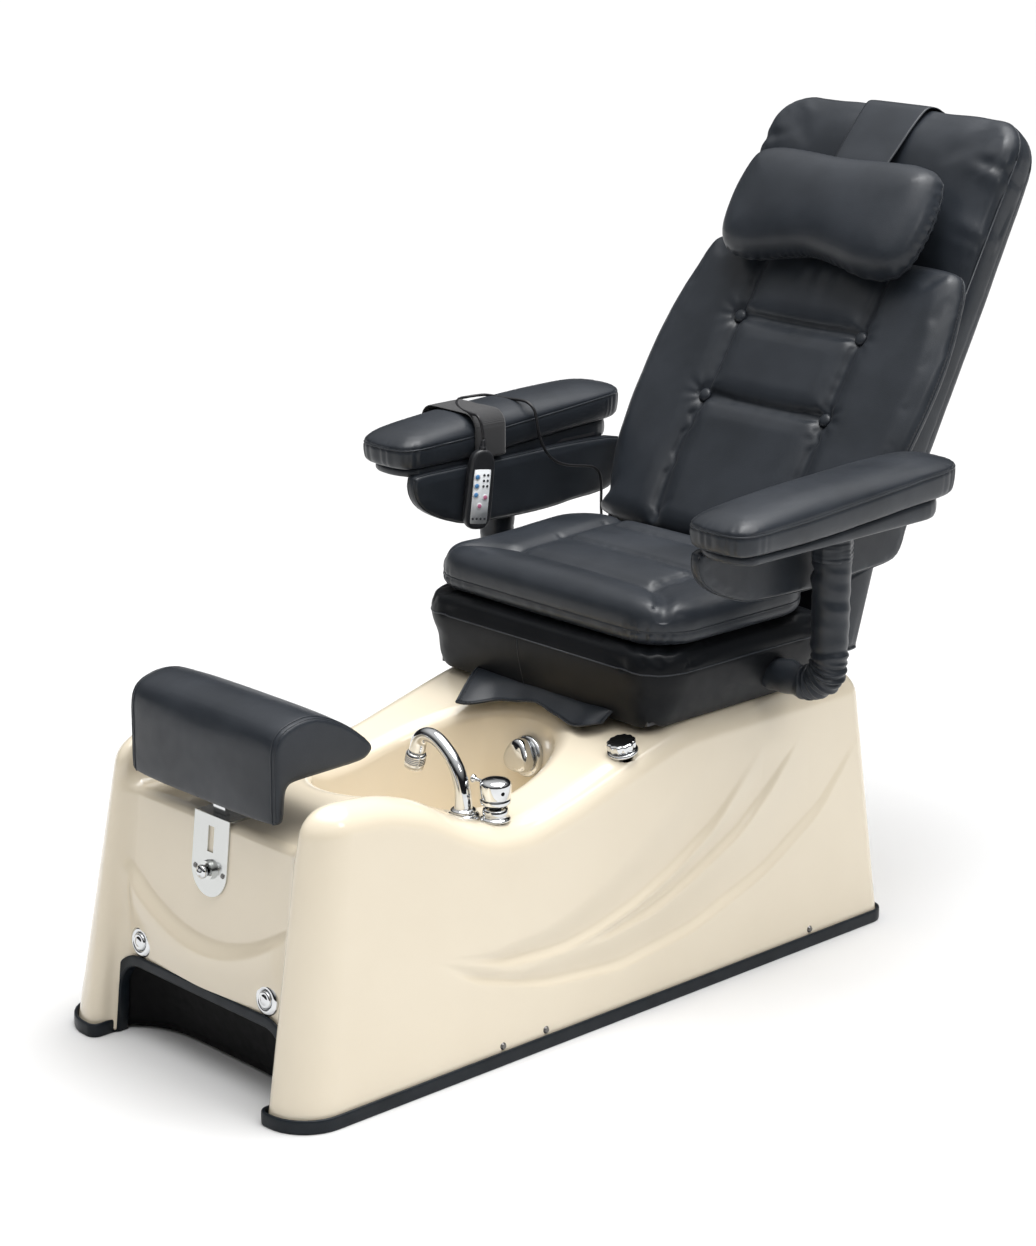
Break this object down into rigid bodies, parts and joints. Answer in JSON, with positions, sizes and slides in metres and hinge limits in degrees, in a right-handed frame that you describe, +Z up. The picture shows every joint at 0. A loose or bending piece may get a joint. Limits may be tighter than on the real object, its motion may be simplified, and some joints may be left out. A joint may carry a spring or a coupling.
{
  "type": "pedicure spa chair",
  "caption": "Moulded foot-bath base with adjustable footrest and taps, carrying a leather reclining chair on slide rails with lifting armrests, a hung pillow and a corded remote.",
  "frame": {"origin": "on the floor at the centre of the base's footprint", "axes": "+Z up, the sitter faces -Y, +X is the side with the taps"},
  "size_m": [0.902, 1.6832, 1.3258],
  "materials": {
    "gelcoat": "glossy moulded gel coat",
    "trim_rubber": "satin rubber",
    "toe_plastic": "matte",
    "frame_steel": "powder coat",
    "screw_steel": "bright",
    "pipe_plastic": "satin",
    "chrome": "polished",
    "bracket_chrome": "polished plate",
    "brass": "machined",
    "rail_aluminium": "anodised",
    "black_leather": "soft sheen upholstery",
    "strap_web": "woven elastic",
    "remote_plastic": "fine texture",
    "cord_rubber": "satin"
  },
  "bodies": {
    "base": {"base_shell": "gelcoat", "base_trim": "trim_rubber", "toe_panel": "toe_plastic", "chassis_frame": "frame_steel", "levelling_feet": "trim_rubber", "panel_screws": "screw_steel", "circulation_pump": "frame_steel", "water_pipes": "pipe_plastic", "jet_fittings": "chrome", "suction_cover": "chrome", "drain_flange": "chrome", "drain_tailpipe": "pipe_plastic", "overflow_body": "chrome", "air_valve_body": "chrome", "button_bezels": "chrome", "spout_escutcheon": "chrome", "mixer_body": "chrome", "supply_inlets": "brass", "footrest_bracket": "bracket_chrome", "post_guide": "frame_steel", "slide_rails": "rail_aluminium", "lock_spring": "frame_steel"},
    "lock": {"lock_knob": "chrome"},
    "footrest": {"footrest_post": "chrome", "footrest_board": "frame_steel", "footrest_cushion": "black_leather"},
    "air_button_left": {"air_button_left": "chrome"},
    "air_button_right": {"air_button_right": "chrome"},
    "spout": {"spout": "chrome"},
    "nozzle": {"spray_nozzle": "chrome"},
    "mixer_spindle": {"mixer_spindle": "frame_steel"},
    "mixer_handle": {"mixer_handle": "chrome"},
    "overflow_knob": {"overflow_knob": "chrome"},
    "drain_plug": {"drain_plug": "chrome"},
    "air_knob": {"air_knob": "chrome"},
    "seat": {"seat_carriage": "frame_steel", "seat_base": "black_leather", "seat_cushion": "black_leather", "front_flap": "black_leather", "arm_posts": "frame_steel", "arm_sleeves": "black_leather", "pivot_pins": "chrome", "back_skirt": "black_leather", "cord_grommet": "cord_rubber", "remote_cord": "cord_rubber"},
    "arm_left": {"arm_bracket_left": "frame_steel", "arm_panel_left": "black_leather", "arm_pad_left": "black_leather", "remote_strap": "strap_web"},
    "arm_right": {"arm_bracket_right": "frame_steel", "arm_panel_right": "black_leather", "arm_pad_right": "black_leather"},
    "back": {"back_frame": "frame_steel", "back_shell": "black_leather", "back_cushion": "black_leather", "tuft_buttons": "black_leather", "strap_counterweight": "black_leather"},
    "pillow": {"pillow": "black_leather", "pillow_strap": "black_leather"},
    "remote": {"remote_case": "remote_plastic"}
  },
  "joints": [
    {"name": "seat_slide", "type": "slide", "parent": "base", "child": "seat", "axis": [0, -1, 0], "range_m": [-0.03, 0.07]},
    {"name": "back_recline", "type": "hinge", "parent": "seat", "child": "back", "pos_m": [0, 0.535, 0.625], "axis": [-1, 0, 0], "range_deg": [-12, 18]},
    {"name": "arm_left_lift", "type": "hinge", "parent": "seat", "child": "arm_left", "pos_m": [-0.388, 0.38, 0.72], "axis": [-1, 0, 0], "range_deg": [0, 60], "deforming": ["remote_cord"]},
    {"name": "arm_right_lift", "type": "hinge", "parent": "seat", "child": "arm_right", "pos_m": [0.388, 0.38, 0.72], "axis": [-1, 0, 0], "range_deg": [0, 60]},
    {"name": "remote_swing", "type": "hinge", "parent": "arm_left", "child": "remote", "pos_m": [-0.298, 0.264, 0.795], "axis": [1, 0, 0], "range_deg": [-15, 20]},
    {"name": "pillow_lift", "type": "hinge", "parent": "back", "child": "pillow", "pos_m": [0, 1.00176, 1.31259], "axis": [-1, 0, 0], "range_deg": [0, 70]},
    {"name": "footrest_height", "type": "slide", "parent": "base", "child": "footrest", "axis": [0, 0, 1], "range_m": [0, 0.1]},
    {"name": "footrest_lock", "type": "slide", "parent": "base", "child": "lock", "axis": [0, -1, 0], "range_m": [0, 0.006], "stiffness_N_per_m": 900, "deforming": ["lock_spring"]},
    {"name": "air_button_left_press", "type": "slide", "parent": "base", "child": "air_button_left", "axis": [0, 0.9942, -0.108], "range_m": [0, 0.004], "stiffness_N_per_m": 500},
    {"name": "air_button_right_press", "type": "slide", "parent": "base", "child": "air_button_right", "axis": [0, 0.9942, -0.108], "range_m": [0, 0.004], "stiffness_N_per_m": 500},
    {"name": "spout_swivel", "type": "hinge", "parent": "base", "child": "spout", "pos_m": [0.183, -0.217, 0.38], "axis": [0, 0, 1], "range_deg": [-70, 40]},
    {"name": "nozzle_tilt", "type": "hinge", "parent": "spout", "child": "nozzle", "pos_m": [0.08037, -0.217, 0.4439], "axis": [0, 1, 0], "range_deg": [-15, 15]},
    {"name": "mixer_turn", "type": "hinge", "parent": "base", "child": "mixer_spindle", "pos_m": [0.226, -0.19, 0.38], "axis": [0, 0, 1], "range_deg": [-60, 30]},
    {"name": "mixer_lift", "type": "hinge", "parent": "mixer_spindle", "child": "mixer_handle", "pos_m": [0.226, -0.19, 0.401], "axis": [-0.225, 0.9744, 0], "range_deg": [0, 12]},
    {"name": "overflow_turn", "type": "hinge", "parent": "base", "child": "overflow_knob", "pos_m": [0, 0.09, 0.345], "axis": [0, -0.9848, 0.1736], "range_deg": [0, 90]},
    {"name": "plug_lift", "type": "slide", "parent": "base", "child": "drain_plug", "axis": [0, 0, 1], "range_m": [0, 0.008]},
    {"name": "air_knob_turn", "type": "hinge", "parent": "base", "child": "air_knob", "pos_m": [0.238, 0.07, 0.41625], "axis": [0, -0.2652, 0.9642], "range_deg": [0, 270]}
  ],
  "couplings": [
    {"joint": "plug_lift", "follows": "overflow_turn", "m_per_rad": 0.005}
  ]
}
